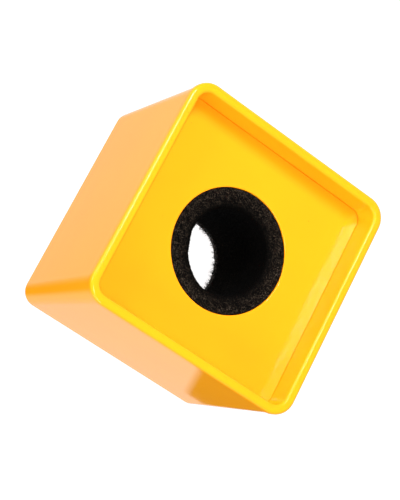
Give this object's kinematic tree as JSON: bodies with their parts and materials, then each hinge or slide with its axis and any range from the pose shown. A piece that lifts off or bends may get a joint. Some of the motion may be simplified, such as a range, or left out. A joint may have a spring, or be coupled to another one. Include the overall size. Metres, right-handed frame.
{
  "type": "microphone flag",
  "caption": "Square drafted plastic housing with recessed end plates and a foam-lined bore that slides over a hand-held microphone and carries labels on its side walls.",
  "frame": {"origin": "centre of the rear rim's plane, on the bore's axis", "axes": "+Z along the bore from the rear rim to the front rim and cover, +X and +Y square to two side walls"},
  "size_m": [0.08, 0.08, 0.061],
  "materials": {
    "yellow_abs": "satin-gloss moulded ABS",
    "cover_yellow_abs": "satin-gloss moulded ABS",
    "black_foam": "matte open-cell foam"
  },
  "bodies": {
    "shell": {"body_shell": "yellow_abs"},
    "cover": {"front_cover": "cover_yellow_abs"},
    "sleeve": {"foam_sleeve": "black_foam"}
  },
  "joints": [
    {"name": "cover_pull", "type": "slide", "parent": "shell", "child": "cover", "axis": [0, 0, 1], "range_m": [0, 0.03]},
    {"name": "sleeve_pull", "type": "slide", "parent": "shell", "child": "sleeve", "axis": [0, 0, 1], "range_m": [0, 0.056]}
  ]
}
